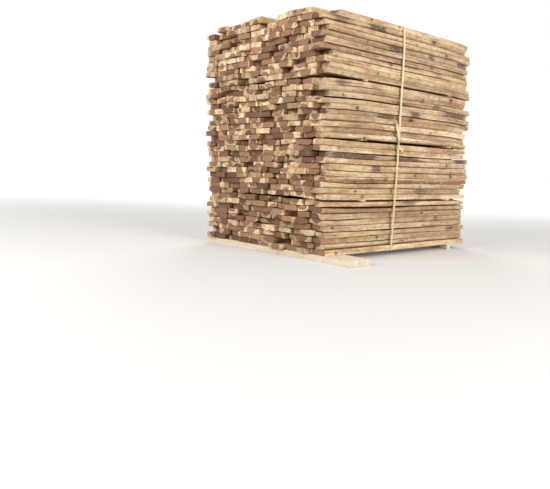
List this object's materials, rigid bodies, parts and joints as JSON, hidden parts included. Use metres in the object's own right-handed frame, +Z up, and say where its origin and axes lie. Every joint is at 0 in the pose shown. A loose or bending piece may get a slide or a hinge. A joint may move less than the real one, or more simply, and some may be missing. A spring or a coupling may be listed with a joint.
{
  "type": "stack of lumber",
  "caption": "Strapped bundle of rough sawn hardwood boards in close courses, with thin laths between packs, standing on two bearers.",
  "frame": {"origin": "middle of the bundle's box, on the ground under its bearers", "axes": "+Y along the boards, away from the end face that the picture shows; +X out of the long face that it shows; +Z up"},
  "size_m": [1.1496, 1.286, 1.2115],
  "materials": {
    "boards": "rough sawn, unfinished",
    "laths": "rough sawn, unfinished",
    "bearers": "sawn and weathered pale",
    "strap": "extruded strapping, satin",
    "seal": "zinc coated"
  },
  "bodies": {
    "root": {"course_01": "boards", "course_02": "boards", "course_03": "boards", "course_04": "boards", "course_05": "boards", "course_06": "boards", "course_07": "boards", "course_08": "boards", "course_09": "boards", "course_10": "boards", "course_11": "boards", "course_12": "boards", "course_13": "boards", "course_14": "boards", "course_15": "boards", "course_16": "boards", "course_17": "boards", "course_18": "boards", "course_19": "boards", "course_20": "boards", "course_21": "boards", "course_22": "boards", "course_23": "boards", "course_24": "boards", "course_25": "boards", "course_26": "boards", "course_27": "boards", "course_28": "boards", "course_29": "boards", "course_30": "boards", "course_31": "boards", "course_32": "boards", "course_33": "boards", "course_34": "boards", "course_35": "boards", "course_36": "boards", "course_37": "boards", "course_38": "boards", "course_39": "boards", "course_40": "boards", "far_bearer": "bearers", "laths_1": "laths", "laths_2": "laths", "laths_3": "laths", "near_bearer": "bearers", "strap": "strap", "strap_seal": "seal"}
  },
  "joints": []
}
